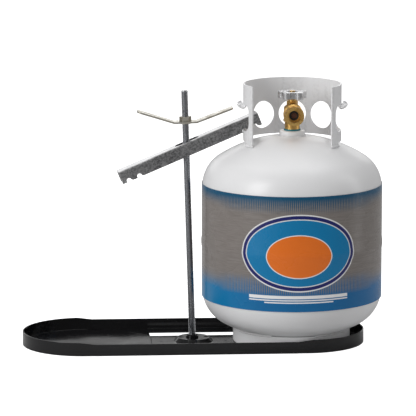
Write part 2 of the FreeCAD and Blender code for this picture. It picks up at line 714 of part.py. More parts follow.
collarIn = "(collarRadius - collarThick)"
legBottom = "(" + headApex("upperCrown", upperCentre, "+", collarIn) + " + weldGap)"
collarBand = band("collarBand", "collarRadius", collarIn, "collarBottom",
                  "collarTop - collarBottom", collarStart, collarSweep)
legs = []
legStarts = [collarStart, "(90 + collarTurn + rearLegTurn)", "(90 + collarTurn - rearLegTurn - legWide)",
             "(%s + %s - legWide)" % (collarStart, collarSweep)]
for i, legStart in enumerate(legStarts):
    legs.append(band("collarLeg%d" % i, "collarRadius", collarIn, legBottom,
                     "collarBottom - %s + 1" % legBottom, legStart, "legWide"))

collarHoles = []
for i in (-1, 0, 1):
    port = cylinder("collarPort%d" % (i + 1), "portRadius", "collarRadius * 2")
    turn = "90 + collarTurn + %d * portSpacing" % i
    port.Placement = FreeCAD.Placement(FreeCAD.Vector(0, 0, number("portHeight")), FreeCAD.Rotation(
        FreeCAD.Vector(-math.sin(math.radians(number(turn))), math.cos(math.radians(number(turn))), 0), 90))
    bind(port, "Placement.Base.z", "portHeight")
    collarHoles.append(port)


def handTool(name, turn, reach):
    """A rounded window from the axis outwards, turned to one side of the collar."""
    body = newBody(name)
    wide = "handHalfWidth"
    low = "handBottom"
    high = "handTop"
    corner = "handCorner"
    window = outline(sketchOn(body, name + "Window", "YZ_Plane"), [
        ("-%s + %s" % (wide, corner), low),
        ("%s - %s" % (wide, corner), low, corner, 1),
        (wide, "%s + %s" % (low, corner)),
        (wide, "%s - %s" % (high, corner), corner, 1),
        ("%s - %s" % (wide, corner), high),
        ("-%s + %s" % (wide, corner), high, corner, 1),
        ("-" + wide, "%s - %s" % (high, corner)),
        ("-" + wide, "%s + %s" % (low, corner), corner, 1),
    ])
    pad(body, window, reach)
    return place(body, "0", "0", "0", (0, 0, 1), turn)


grips = []
handTurns = ["180 + collarTurn", "collarTurn"]
rollOut = "(gripReach + collarThick) / 2"
rollIn = "((gripReach + collarThick) / 2 - collarThick)"
rollMiddle = "(%s + %s)" % (collarIn, rollOut)
rollHeight = "(handTop - 2)"
for i, handTurn in enumerate(handTurns):
    collarHoles.append(handTool("collarHand%d" % i, handTurn, "collarRadius + 20"))
    # the sheet above the hand hole is rolled down and outwards into a grip
    grip = newBody("collarGrip%d" % i)
    gripSketch = outline(sketchOn(grip, "gripProfile%d" % i, "XZ_Plane"), [
        (collarIn, rollHeight, rollOut, 1),
        (rollMiddle, "%s - %s" % (rollHeight, rollOut), rollOut, 1),
        ("%s + %s" % (rollMiddle, rollOut), rollHeight),
        ("%s + %s" % (rollMiddle, rollIn), rollHeight, rollIn, -1),
        (rollMiddle, "%s - %s" % (rollHeight, rollIn), rollIn, -1),
        ("collarRadius", rollHeight),
        ("collarRadius", "handTop + 2"),
        (collarIn, "handTop + 2"),
    ])
    roll = grip.newObject("PartDesign::Revolution", "gripTurn%d" % i)
    roll.Profile = gripSketch
    roll.ReferenceAxis = (gripSketch, ["V_Axis"])
    roll.Midplane = True
    roll.Angle = number("gripSweep")
    bind(roll, "Angle", "gripSweep")
    grips.append(place(grip, turn=handTurn))

collarSheet = cut("collarSheet", fuse("collarStock", [collarBand] + legs), fuse("collarTools", collarHoles))
keep(onTank(fuse("collar", [collarSheet] + grips)), "collar")

# ---------------------------------------------------------------- valve

bossFoot = "(" + headApex("upperCrown", upperCentre, "+", upperHole) + " + 0.05)"
threadFoot = "(bossTop - 18)"
boss = turned("valve_boss", [
    ("valveThread + threadClear", threadFoot),
    ("bossNeck", threadFoot),
    ("bossNeck", bossFoot),
    ("bossRadius - 1.5", bossFoot),
    ("bossRadius", bossFoot + " + 1.5"),
    ("bossRadius", "bossTop - 1.5"),
    ("bossRadius - 1.5", "bossTop"),
    ("valveThread + threadClear", "bossTop"),
])
keep(onTank(boss), "valve_boss")

seal = turned("thread_seal", [
    ("valveThread + threadClear", "bossTop"),
    ("valveNeck + 1.4", "bossTop"),
    ("valveNeck + 1.4", "bossTop + sealHigh"),
    ("valveThread + threadClear", "bossTop + sealHigh"),
])
keep(onTank(seal), "thread_seal")


def arm(name, radius, start, reach, height, x="0"):
    """A round bar along Y; reach is negative towards the front."""
    bar = cylinder(name, radius, "abs(%s)" % reach)
    way = -1 if number(reach) > 0 else 1
    bar.Placement = FreeCAD.Placement(FreeCAD.Vector(number(x), number(start), number(height)),
                                      FreeCAD.Rotation(FreeCAD.Vector(1, 0, 0), 90 * way))
    bind(bar, "Placement.Base.x", x)
    bind(bar, "Placement.Base.y", start)
    bind(bar, "Placement.Base.z", height)
    return bar


seatHeight = "(outletHeight - 8)"
outletFloor = "(outletReach - outletDepth)"
reliefHeight = "(bossTop + 12)"
reliefFloor = "(reliefReach - reliefDepth)"
stemBody = turned("valveStock", [
    ("passageRadius", threadFoot),
    ("valveThread", threadFoot),
    ("valveThread", "bossTop + sealHigh"),
    ("valveNeck", "bossTop + sealHigh"),
    ("valveNeck", "outletHeight - valveBlock"),
    ("valveBlock", "outletHeight - valveBlock + 2"),
    ("valveBlock", "valveTop - 3"),
    ("valveBlock - 3", "valveTop"),
    ("chamberRadius", "valveTop"),
    ("chamberRadius", seatHeight),
    ("passageRadius", seatHeight),
])


def alongBleed(obj, x="0"):
    """Lays an object built along Z down on the bleed screw's axis, pointing outwards."""
    away = number("bleedTurn")
    lay = FreeCAD.Rotation(FreeCAD.Vector(0, 0, 1), away).multiply(
        FreeCAD.Rotation(FreeCAD.Vector(0, 1, 0), 90))
    obj.Placement = FreeCAD.Placement(FreeCAD.Vector(number(x), 0, number("bleedHeight")), lay)
    bind(obj, "Placement.Base.x", x)
    bind(obj, "Placement.Base.z", "bleedHeight")
    return obj


bleedBoss = alongBleed(cylinder("bleedBoss", "bleedHead + 1", "bleedFace"))
bleedHole = alongBleed(cylinder("bleedHole", "bleedRadius + threadClear", "bleedFace + 10"))
clearCore = cylinder("valveCore", "passageRadius", "valveTop - bossTop")
place(clearCore, "0", "0", "bossTop")
chamber = cylinder("valveChamber", "chamberRadius", "valveTop - %s + 5" % seatHeight)
place(chamber, "0", "0", seatHeight)
dipHole = cylinder("dipHole", "dipRadius + 0.05", "8")
place(dipHole, "dipX", "0", threadFoot)
outletArm = arm("outletArm", "outletRadius", "-outletRoot", "outletRoot - outletReach", "outletHeight")
neckArm = arm("outletNeckArm", "outletNeck", "0", "-outletRoot - 1", "outletHeight")
reliefArm = arm("reliefArm", "reliefRadius", "0", "reliefReach", reliefHeight)
valveTools = [
    clearCore, chamber, dipHole, bleedHole,
    arm("outletBoreTool", "outletBore", "moduleDepth - outletReach", "-moduleDepth - 2", "outletHeight"),
    arm("outletModuleTool", "moduleRadius", "-" + outletFloor, "-outletDepth", "outletHeight"),
    arm("outletPass", "3", "0", "-outletReach", "outletHeight"),
    arm("reliefBoreTool", "reliefBore", reliefFloor, "reliefDepth + 2", reliefHeight),
    arm("reliefPass", "2.5", "0", "reliefReach", reliefHeight),
]
valve = cut("valve_body", fuse("valveStockAll", [stemBody, outletArm, neckArm, reliefArm, bleedBoss]),
            fuse("valveTools", valveTools))
keep(onTank(valve), "valve_body")


def ringY(name, outer, inner, start, length, height):
    """A ring along Y, starting at a distance behind the valve's centre line."""
    disc = arm(name + "Disc", outer, start, length, height)
    if inner is None:
        return disc
    hole = arm(name + "Hole", inner, "(%s) - 1" % start, "(%s) + 2" % length, height)
    return cut(name, disc, hole)


ringFront = "(-outletReach + moduleDepth)"
seatRing = ringY("outlet_seat_ring", "moduleRadius - threadClear", "poppetRadius + 0.4",
                 ringFront + " + poppetSink", "4 - poppetSink", "outletHeight")
keep(onTank(seatRing), "outlet_seat_ring")
poppet = fuse("outlet_poppet", [
    ringY("poppetNose", "poppetRadius", None, ringFront + " + poppetSink", "4.2 - poppetSink",
          "outletHeight"),
    ringY("poppetDisc", "poppetRadius + 2.6", None, ringFront + " + 4.2", "2", "outletHeight"),
])
keep(onTank(poppet), "outlet_poppet")
reliefPoppet = fuse("relief_poppet", [
    ringY("reliefDisc", "reliefBore - 0.1", None, reliefFloor + " + 0.05", "3", reliefHeight),
    ringY("reliefNose", "2.2", None, reliefFloor + " - 2", "3", reliefHeight),
])
keep(onTank(reliefPoppet), "relief_poppet")
reliefCap = ringY("relief_cap", "reliefBore - threadClear", "2.5", "reliefReach - 4", "4.4", reliefHeight)
keep(onTank(reliefCap), "relief_cap")


def spring(name, radius, start, length, height):
    """A coil spring along Y between two faces."""
    body = newBody(name)
    sketch = sketchOn(body, name + "Wire", "XZ_Plane")
    ring(sketch, radius, "springWire", "springWire")
    coil = body.newObject("PartDesign::AdditiveHelix", name + "Coil")
    coil.Profile = sketch
    coil.ReferenceAxis = (sketch, ["V_Axis"])
    coil.Mode = 0
    coilHigh = "((%s) - 2 * springWire)" % length
    coil.Height = number(coilHigh)
    coil.Pitch = number(coilHigh) / 3.5
    bind(coil, "Height", coilHigh)
    bind(coil, "Pitch", coilHigh + " / 3.5")
    body.Placement = FreeCAD.Placement(
        FreeCAD.Vector(number("seatX"), number(start), number(height)),
        FreeCAD.Rotation(FreeCAD.Vector(1, 0, 0), -90))
    bind(body, "Placement.Base.x", "seatX")
    bind(body, "Placement.Base.y", start)
    bind(body, "Placement.Base.z", height)
    return keep(body, name)


outletSpringStart = "(%s + 6.3)" % ringFront
spring("outlet_spring", "5.6", outletSpringStart, "-(%s) - (%s) - 0.1" % (outletFloor, outletSpringStart),
       "outletHeight")
reliefSpringStart = "(%s + 3.15)" % reliefFloor
spring("relief_spring", "3.9", reliefSpringStart, "reliefReach - 4 - (%s) - 0.1" % reliefSpringStart,
       reliefHeight)

# packing nut, stem, plug and handwheel on the vertical axis
spigotFoot = "(valveTop - 5)"
bonnetStock = fuse("bonnetStock", [
    place(hexagon("bonnetHex", "2 * bonnetRadius * cos(30)", "bonnetTop - valveTop - 3"), z="valveTop"),
    place(cylinder("bonnetNeck", "bonnetRadius - 2.4", "3.5"), z="bonnetTop - 3.5"),
    place(cylinder("bonnetSpigot", "chamberRadius - threadClear", "6"), z=spigotFoot),
])
bonnetBore = place(cylinder("bonnetBore", "stemRadius + threadClear", "40"), z=spigotFoot + " - 5")
keep(onTank(cut("packing_nut", bonnetStock, bonnetBore)), "packing_nut")

packing = cut("stem_packing", place(cylinder("packingDisc", "chamberRadius - 0.3", "2.5"),
                                    z=spigotFoot + " - 2.5"),
              place(cylinder("packingBore", "stemRadius + threadClear", "20"), z=spigotFoot + " - 10"))
keep(onTank(packing), "stem_packing")

collarFoot = "(%s - 6.5)" % spigotFoot
stem = cut("valve_stem", fuse("stemStock", [
    place(cylinder("stemTang", "tangRadius", "10"), z=collarFoot + " - 4"),
    place(cylinder("stemCollar", "chamberRadius - 0.3", "4"), z=collarFoot),
    place(cylinder("stemShaft", "stemRadius", "wheelBottom - %s - 1" % collarFoot), z=collarFoot),
    place(cylinder("stemDrive", "driveRadius", "wheelTop - 3 - %s" % collarFoot), z=collarFoot),
]), place(cylinder("stemThread", "screwThread + threadClear", "12"), z="wheelTop - 12"))
keep(onTank(stem), "valve_stem")

plug = cut("valve_plug",
           place(cylinder("plugDisc", "chamberRadius - threadClear", "7"), z=seatHeight + " + 0.05"),
           place(cylinder("plugBore", "tangRadius + 0.1", "20"), z=seatHeight + " + 3"))
keep(onTank(plug), "valve_plug")

wheelHigh = "(wheelTop - wheelBottom)"
lobeReach = "(wheelRadius - wheelLobe)"
wheelStock = [cylinder("wheelHub", lobeReach, wheelHigh)]
lobeCount = 5
for i in range(lobeCount):
    turn = "%g" % (90 + 360 * i / lobeCount)
    wheelStock.append(place(cylinder("wheelLobe%d" % i, "wheelLobe", wheelHigh),
                            "%s * cos(%s)" % (lobeReach, turn), "%s * sin(%s)" % (lobeReach, turn)))
wheelTools = [
    place(cylinder("wheelBore", "driveRadius + threadClear", "40"), z="-5"),
    place(cylinder("wheelDish", "wheelDishRadius", "wheelDishDeep + 2"),
          z=wheelHigh + " - wheelDishDeep"),
    place(cylinder("wheelUnder", "stemRadius + 5", "4"), z="-2.5"),
]
wheel = cut("handwheel", fuse("wheelStock", wheelStock), fuse("wheelTools", wheelTools))
keep(place(wheel, "seatX", "0", "wheelBottom"), "handwheel")

screwSeat = "(wheelTop - wheelDishDeep)"
screwStock = fuse("screwStock", [
    place(cylinder("screwHead", "screwRadius", "3.6"), z=screwSeat),
    place(cylinder("screwShank", "screwThread", "8"), z=screwSeat + " - 7"),
])
screwSlot = place(block("screwSlot", "screwRadius * 3", "1.2", "4"),
                  "-screwRadius * 1.5", "-0.6", screwSeat + " + 2.2")
keep(onTank(cut("handwheel_screw", screwStock, screwSlot)), "handwheel_screw")

bleedSeat = "(bleedFace + 0.4)"
bleedStock = fuse("bleedStock", [
    place(cylinder("bleedShankBar", "bleedRadius", "bleedShank + 1"), z=bleedSeat + " - bleedShank"),
    place(cylinder("bleedHeadDisc", "bleedHead", "bleedHeadHigh"), z=bleedSeat),
])
bleedSlot = place(block("bleedSlot", "4 * bleedHead", "1", "4"),
                  "-2 * bleedHead", "-0.5", bleedSeat + " + bleedHeadHigh - 1.2")
keep(alongBleed(cut("bleed_screw", bleedStock, bleedSlot), "seatX"), "bleed_screw")

dipTube = cut("dip_tube", cylinder("dipOuter", "dipRadius", "dipLength"),
              cylinder("dipInner", "dipRadius - 0.8", "dipLength"))
keep(place(dipTube, "seatX + dipX", "0", "%s + 7.5 - dipLength" % threadFoot), "dip_tube")

# ---------------------------------------------------------------- checks and files

doc.recompute()
faults = [obj.Name for obj in doc.Objects if {"Invalid", "Error"} & set(obj.State)]
for part in parts:
    if part.Shape.isNull() or not part.Shape.isValid() or not part.Shape.Solids:
        faults.append(part.Label)
if faults:
    raise RuntimeError("objects that failed: " + ", ".join(faults))

os.makedirs("parts", exist_ok=True)
for part in parts:
    part.Shape.exportStep("parts/%s.step" % part.Label)
    print(part.Label, "solids", len(part.Shape.Solids), "volume %.0f" % part.Shape.Volume)
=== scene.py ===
import json
import math
import bpy
import bmesh
from mathutils import Matrix, Vector


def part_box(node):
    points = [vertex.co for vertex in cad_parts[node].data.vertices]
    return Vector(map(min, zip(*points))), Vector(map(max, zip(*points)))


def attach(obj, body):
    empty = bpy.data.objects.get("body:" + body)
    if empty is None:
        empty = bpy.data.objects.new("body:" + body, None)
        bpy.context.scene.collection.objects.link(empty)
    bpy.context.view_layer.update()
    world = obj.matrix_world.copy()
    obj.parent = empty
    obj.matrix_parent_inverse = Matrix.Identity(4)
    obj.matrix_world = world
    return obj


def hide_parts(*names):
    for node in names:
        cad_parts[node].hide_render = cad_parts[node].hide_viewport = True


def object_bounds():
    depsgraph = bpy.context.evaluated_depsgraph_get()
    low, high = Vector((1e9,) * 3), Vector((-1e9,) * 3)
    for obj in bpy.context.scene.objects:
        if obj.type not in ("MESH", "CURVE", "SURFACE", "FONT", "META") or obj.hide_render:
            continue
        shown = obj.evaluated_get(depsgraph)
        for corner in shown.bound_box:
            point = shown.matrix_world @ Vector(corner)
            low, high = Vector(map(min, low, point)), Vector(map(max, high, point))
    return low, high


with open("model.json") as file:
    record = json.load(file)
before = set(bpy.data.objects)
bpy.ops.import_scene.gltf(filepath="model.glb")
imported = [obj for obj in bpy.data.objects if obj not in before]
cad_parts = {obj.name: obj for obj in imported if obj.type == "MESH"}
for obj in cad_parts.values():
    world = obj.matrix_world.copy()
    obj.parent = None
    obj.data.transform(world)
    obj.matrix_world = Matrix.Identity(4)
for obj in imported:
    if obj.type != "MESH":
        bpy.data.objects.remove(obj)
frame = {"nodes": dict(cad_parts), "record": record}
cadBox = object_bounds()
record = frame["record"]
joints = {joint["name"]: joint for joint in record["behaviour"]["joints"]}
bodyOfNode = {node: body for body, nodes in record["behaviour"]["bodies"].items() for node in nodes}


def middleOf(node):
    low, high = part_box(node)
    return (Vector(low) + Vector(high)) / 2


tankAxis = middleOf("girth_weld")
floorHeight = cadBox[0][2]

# small helpers for node trees


def newMaterial(name):
    material = bpy.data.materials.new(name)
    material.use_nodes = True
    tree = material.node_tree
    return material, tree, tree.nodes["Principled BSDF"]


def addNode(tree, kind, **settings):
    node = tree.nodes.new(kind)
    for key, value in settings.items():
        setattr(node, key, value)
    return node


def plug(tree, source, target):
    tree.links.new(source, target)


def maths(tree, operation, first, second=None, third=None, clamp=False):
    node = addNode(tree, "ShaderNodeMath", operation=operation, use_clamp=clamp)
    for slotIndex, value in enumerate((first, second, third)):
        if value is None:
            continue
        if isinstance(value, (int, float)):
            node.inputs[slotIndex].default_value = value
        else:
            plug(tree, value, node.inputs[slotIndex])
    return node.outputs[0]


def mixColour(tree, factor, under, over):
    node = addNode(tree, "ShaderNodeMix", data_type="RGBA", blend_type="MIX")
    for socket, value in ((node.inputs[0], factor), (node.inputs[6], under), (node.inputs[7], over)):
        if isinstance(value, (int, float)):
            socket.default_value = value
        elif isinstance(value, (tuple, list)):
            socket.default_value = (*value, 1)
        else:
            plug(tree, value, socket)
    return node.outputs[2]


def spread(tree, value, low, high, toLow=0.0, toHigh=1.0):
    node = addNode(tree, "ShaderNodeMapRange", clamp=True)
    plug(tree, value, node.inputs["Value"])
    node.inputs["From Min"].default_value = low
    node.inputs["From Max"].default_value = high
    node.inputs["To Min"].default_value = toLow
    node.inputs["To Max"].default_value = toHigh
    return node.outputs[0]


def objectCoords(tree):
    return addNode(tree, "ShaderNodeTexCoord").outputs["Object"]


def noise(tree, coords, scale, detail, rough=0.55, stretch=None):
    if stretch:
        mapping = addNode(tree, "ShaderNodeMapping")
        plug(tree, coords, mapping.inputs["Vector"])
        mapping.inputs["Scale"].default_value = stretch
        coords = mapping.outputs[0]
    node = addNode(tree, "ShaderNodeTexNoise")
    plug(tree, coords, node.inputs["Vector"])
    node.inputs["Scale"].default_value = scale
    node.inputs["Detail"].default_value = detail
    node.inputs["Roughness"].default_value = rough
    return node.outputs["Fac"]


def bump(tree, height, strength, distance, under=None):
    node = addNode(tree, "ShaderNodeBump")
    node.inputs["Strength"].default_value = strength
    node.inputs["Distance"].default_value = distance
    plug(tree, height, node.inputs["Height"])
    if under is not None:
        plug(tree, under, node.inputs["Normal"])
    return node.outputs[0]


# shared effects

wearLook = {"edge": (0.515, 0.60), "broken": (0.42, 0.62), "detail": 5, "amount": 0.5, "grain": 160.0}
smudgeLook = {"size": 14.0, "detail": 4, "distortion": 0.6, "fineTimes": 40.0, "fineDetail": 2}


def makeGroup(name, inputs, outputs):
    group = bpy.data.node_groups.new(name, "ShaderNodeTree")
    for socketName, kind, value in inputs:
        socket = group.interface.new_socket(socketName, in_out="INPUT", socket_type=kind)
        if value is not None:
            socket.default_value = value
    for socketName, kind in outputs:
        group.interface.new_socket(socketName, in_out="OUTPUT", socket_type=kind)
    start = group.nodes.new("NodeGroupInput")
    stop = group.nodes.new("NodeGroupOutput")
    return group, start, stop


def makeEdgeWear():
    group, start, stop = makeGroup(
        "edgeWear",
        [("Vector", "NodeSocketVector", None), ("Amount", "NodeSocketFloat", wearLook["amount"]),
         ("Grain", "NodeSocketFloat", wearLook["grain"])],
        [("Mask", "NodeSocketFloat")])
    pointy = group.nodes.new("ShaderNodeNewGeometry").outputs["Pointiness"]
    edge = spread(group, pointy, *wearLook["edge"])
    speckle = group.nodes.new("ShaderNodeTexNoise")
    plug(group, start.outputs["Vector"], speckle.inputs["Vector"])
    plug(group, start.outputs["Grain"], speckle.inputs["Scale"])
    speckle.inputs["Detail"].default_value = wearLook["detail"]
    broken = spread(group, speckle.outputs["Fac"], *wearLook["broken"])
    worn = maths(group, "MULTIPLY", edge, broken)
    plug(group, maths(group, "MULTIPLY", worn, start.outputs["Amount"], clamp=True), stop.inputs["Mask"])
    return group


def makeSmudge():
    # soft handling marks, and fine hairlines as a second mask
    group, start, stop = makeGroup(
        "smudge",
        [("Vector", "NodeSocketVector", None), ("Size", "NodeSocketFloat", smudgeLook["size"])],
        [("Soft", "NodeSocketFloat"), ("Fine", "NodeSocketFloat")])
    soft = group.nodes.new("ShaderNodeTexNoise")
    plug(group, start.outputs["Vector"], soft.inputs["Vector"])
    plug(group, start.outputs["Size"], soft.inputs["Scale"])
    soft.inputs["Detail"].default_value = smudgeLook["detail"]
    soft.inputs["Distortion"].default_value = smudgeLook["distortion"]
    plug(group, soft.outputs["Fac"], stop.inputs["Soft"])
    fine = group.nodes.new("ShaderNodeTexNoise")
    plug(group, start.outputs["Vector"], fine.inputs["Vector"])
    fineScale = maths(group, "MULTIPLY", start.outputs["Size"], smudgeLook["fineTimes"])
    plug(group, fineScale, fine.inputs["Scale"])
    fine.inputs["Detail"].default_value = smudgeLook["fineDetail"]
    plug(group, fine.outputs["Fac"], stop.inputs["Fine"])
    return group


edgeWear = makeEdgeWear()
smudge = makeSmudge()


def useGroup(tree, group, coords, **values):
    node = addNode(tree, "ShaderNodeGroup", node_tree=group)
    plug(tree, coords, node.inputs["Vector"])
    for key, value in values.items():
        node.inputs[key].default_value = value
    return node


def setRoughness(tree, shader, marks, low, high, full=0.7):
    plug(tree, spread(tree, marks.outputs["Soft"], 0.3, full, low, high), shader.inputs["Roughness"])


# materials

trayLook = {
    "colour": (0.0035, 0.0035, 0.004), "lighter": 1.7, "worn": (0.016, 0.016, 0.017), "wear": 0.3,
    "wearGrain": 260.0, "marks": 9.0, "roughness": 0.10, "smoother": 0.03, "rougher": 0.07,
    "peel": 300.0, "peelDetail": 2.0, "peelStrength": 0.06, "peelDepth": 0.0003, "specular": 0.45,
}


def makeTrayPaint():
    look = trayLook
    material, tree, shader = newMaterial("blackPowderCoat")
    coords = objectCoords(tree)
    marks = useGroup(tree, smudge, coords, Size=look["marks"])
    worn = useGroup(tree, edgeWear, coords, Amount=look["wear"], Grain=look["wearGrain"])
    lighter = [c * look["lighter"] for c in look["colour"]]
    tone = mixColour(tree, marks.outputs["Soft"], look["colour"], lighter)
    plug(tree, mixColour(tree, worn.outputs["Mask"], tone, look["worn"]), shader.inputs["Base Color"])
    setRoughness(tree, shader, marks, look["roughness"] - look["smoother"],
                 look["roughness"] + look["rougher"])
    peel = noise(tree, coords, look["peel"], look["peelDetail"])
    plug(tree, bump(tree, peel, look["peelStrength"], look["peelDepth"]), shader.inputs["Normal"])
    shader.inputs["Specular IOR Level"].default_value = look["specular"]
    return material


tankLook = {
    "colour": (0.80, 0.80, 0.81), "shade": (0.70, 0.70, 0.70), "shadeMost": 0.35,
    "worn": (0.42, 0.41, 0.40),
    "wear": 0.25, "wearGrain": 200.0, "marks": 7.0, "roughness": 0.36, "smoother": 0.06, "rougher": 0.08,
    "peel": 210.0, "peelDetail": 2.0, "peelStrength": 0.16, "peelDepth": 0.0006,
    "dents": 9.0, "dentDetail": 1.0, "dentStrength": 0.12, "dentDepth": 0.004,
    "coat": 0.15, "coatRoughness": 0.25,
}


def makeTankPaint():
    look = tankLook
    material, tree, shader = newMaterial("whiteTankPaint")
    coords = objectCoords(tree)
    marks = useGroup(tree, smudge, coords, Size=look["marks"])
    blend = spread(tree, marks.outputs["Soft"], 0.35, 0.75, 0.0, look["shadeMost"])
    tone = mixColour(tree, blend, look["colour"], look["shade"])
    worn = useGroup(tree, edgeWear, coords, Amount=look["wear"], Grain=look["wearGrain"])
    plug(tree, mixColour(tree, worn.outputs["Mask"], tone, look["worn"]), shader.inputs["Base Color"])
    setRoughness(tree, shader, marks, look["roughness"] - look["smoother"],
                 look["roughness"] + look["rougher"])
    peel = noise(tree, coords, look["peel"], look["peelDetail"])
    dents = noise(tree, coords, look["dents"], look["dentDetail"])
    coarse = bump(tree, dents, look["dentStrength"], look["dentDepth"])
    plug(tree, bump(tree, peel, look["peelStrength"], look["peelDepth"], coarse), shader.inputs["Normal"])
    shader.inputs["Coat Weight"].default_value = look["coat"]
    shader.inputs["Coat Roughness"].default_value = look["coatRoughness"]
    return material


metalLooks = {
    "rodZinc": {"colour": (0.43, 0.44, 0.46), "shade": (0.33, 0.335, 0.35), "roughness": 0.24,
                "grain": 40.0},
    "clampZinc": {"colour": (0.58, 0.56, 0.50), "shade": (0.42, 0.385, 0.31), "roughness": 0.30,
                  "grain": 60.0},
    "brassCast": {"colour": (0.80, 0.51, 0.17), "shade": (0.46, 0.24, 0.065), "roughness": 0.25,
                  "grain": 110.0},
    "brassTurned": {"colour": (0.76, 0.53, 0.23), "shade": (0.52, 0.33, 0.12), "roughness": 0.20,
                    "grain": 220.0},
    "castAlloy": {"colour": (0.72, 0.72, 0.73), "shade": (0.34, 0.34, 0.345), "roughness": 0.24,
                  "grain": 150.0},
    "springSteel": {"colour": (0.45, 0.45, 0.46), "shade": (0.25, 0.25, 0.26), "roughness": 0.30,
                    "grain": 180.0},
}
metalFinish = {
    "wear": 0.6, "wearTimes": 2, "brighter": 1.25, "brightest": 0.95, "shading": (0.35, 0.72),
    "smoother": 0.05, "rougher": 0.16, "roughFull": 0.75, "scratch": 0.10, "scratchDepth": 0.0003,
}


def makeMetal(name):
    look, finish = metalLooks[name], metalFinish
    material, tree, shader = newMaterial(name)
    coords = objectCoords(tree)
    marks = useGroup(tree, smudge, coords, Size=look["grain"])
    worn = useGroup(tree, edgeWear, coords, Amount=finish["wear"],
                    Grain=look["grain"] * finish["wearTimes"])
    blend = spread(tree, marks.outputs["Soft"], *finish["shading"])
    tone = mixColour(tree, blend, look["colour"], look["shade"])
    bright = [min(c * finish["brighter"], finish["brightest"]) for c in look["colour"]]
    plug(tree, mixColour(tree, worn.outputs["Mask"], tone, bright), shader.inputs["Base Color"])
    setRoughness(tree, shader, marks, look["roughness"] - finish["smoother"],
                 look["roughness"] + finish["rougher"], finish["roughFull"])
    shader.inputs["Metallic"].default_value = 1.0
    scratches = bump(tree, marks.outputs["Fine"], finish["scratch"], finish["scratchDepth"])
    plug(tree, scratches, shader.inputs["Normal"])
    return material


# the bright colour for upward-facing faces is a painted highlight
galvanisedLook = {
    "light": (0.28, 0.28, 0.285), "dark": (0.105, 0.105, 0.11), "web": (0.70, 0.70, 0.71),
    "worn": (0.62, 0.62, 0.62), "wear": 0.9, "wearGrain": 300.0, "streak": 420.0, "cloud": 90.0,
    "flake": 380.0,
    "streakShare": 0.5, "cloudShare": 0.38, "flakeShare": 0.12, "detail": 4.0,
    "streakRough": 0.6, "cloudRough": 0.55, "streakStretch": (0.22, 1.0, 1.0),
    "cloudStretch": (0.5, 1.0, 1.0),
    "toneSpan": (0.36, 0.64), "webSpan": (0.70, 0.90), "slope": 22.2,
    "metallic": 0.85, "roughness": (0.26, 0.44), "bump": 0.12, "bumpDepth": 0.0003,
}


def makeGalvanised():
    look = galvanisedLook
    material, tree, shader = newMaterial("galvanisedSteel")
    coords = objectCoords(tree)
    # coordinates laid along the channel, so that the rolling streaks follow it
    laid = addNode(tree, "ShaderNodeVectorRotate", rotation_type="Y_AXIS")
    plug(tree, coords, laid.inputs["Vector"])
    laid.inputs["Angle"].default_value = math.radians(look["slope"])
    streaks = noise(tree, laid.outputs[0], look["streak"], look["detail"], look["streakRough"],
                    look["streakStretch"])
    cloud = noise(tree, laid.outputs[0], look["cloud"], look["detail"], look["cloudRough"],
                  look["cloudStretch"])
    flakes = addNode(tree, "ShaderNodeTexVoronoi")
    plug(tree, coords, flakes.inputs["Vector"])
    flakes.inputs["Scale"].default_value = look["flake"]
    spangle = addNode(tree, "ShaderNodeSeparateColor")
    plug(tree, flakes.outputs["Color"], spangle.inputs[0])
    cloudPart = maths(tree, "MULTIPLY", cloud, look["cloudShare"])
    both = maths(tree, "MULTIPLY_ADD", streaks, look["streakShare"], cloudPart)
    both = maths(tree, "MULTIPLY_ADD", spangle.outputs[0], look["flakeShare"], both)
    tone = mixColour(tree, spread(tree, both, *look["toneSpan"]), look["dark"], look["light"])
    # painted highlight: faces turned upward get a bright zinc colour in place of a glint off the backdrop,
    # and the rest keeps the mottled tone
    facing = addNode(tree, "ShaderNodeSeparateXYZ")
    plug(tree, addNode(tree, "ShaderNodeNewGeometry").outputs["Normal"], facing.inputs[0])
    tone = mixColour(tree, spread(tree, facing.outputs["Z"], *look["webSpan"]), tone, look["web"])
    worn = useGroup(tree, edgeWear, coords, Amount=look["wear"], Grain=look["wearGrain"])
    plug(tree, mixColour(tree, worn.outputs["Mask"], tone, look["worn"]), shader.inputs["Base Color"])
    shader.inputs["Metallic"].default_value = look["metallic"]
    plug(tree, spread(tree, both, 0.3, 0.7, *look["roughness"]), shader.inputs["Roughness"])
    plug(tree, bump(tree, both, look["bump"], look["bumpDepth"]), shader.inputs["Normal"])
    return material


plainLooks = {
    "tealSealant": {"colour": (0.004, 0.13, 0.17), "shade": (0.01, 0.20, 0.24), "roughness": 0.45,
                    "grain": 300.0},
    "blackRubber": {"colour": (0.02, 0.02, 0.02), "shade": (0.035, 0.035, 0.035), "roughness": 0.6,
                    "grain": 200.0},
    "brownPlastic": {"colour": (0.10, 0.035, 0.02), "shade": (0.16, 0.06, 0.03), "roughness": 0.42,
                     "grain": 260.0},
}
plainFinish = {"smoother": 0.08, "rougher": 0.1, "bump": 0.15, "bumpDepth": 0.0004}


def makePlain(name):
    look, finish = plainLooks[name], plainFinish
    material, tree, shader = newMaterial(name)
    coords = objectCoords(tree)
    marks = useGroup(tree, smudge, coords, Size=look["grain"])
    plug(tree, mixColour(tree, marks.outputs["Soft"], look["colour"], look["shade"]),
         shader.inputs["Base Color"])
    setRoughness(tree, shader, marks, look["roughness"] - finish["smoother"],
                 look["roughness"] + finish["rougher"])
    plug(tree, bump(tree, marks.outputs["Fine"], finish["bump"], finish["bumpDepth"]),
         shader.inputs["Normal"])
    return material


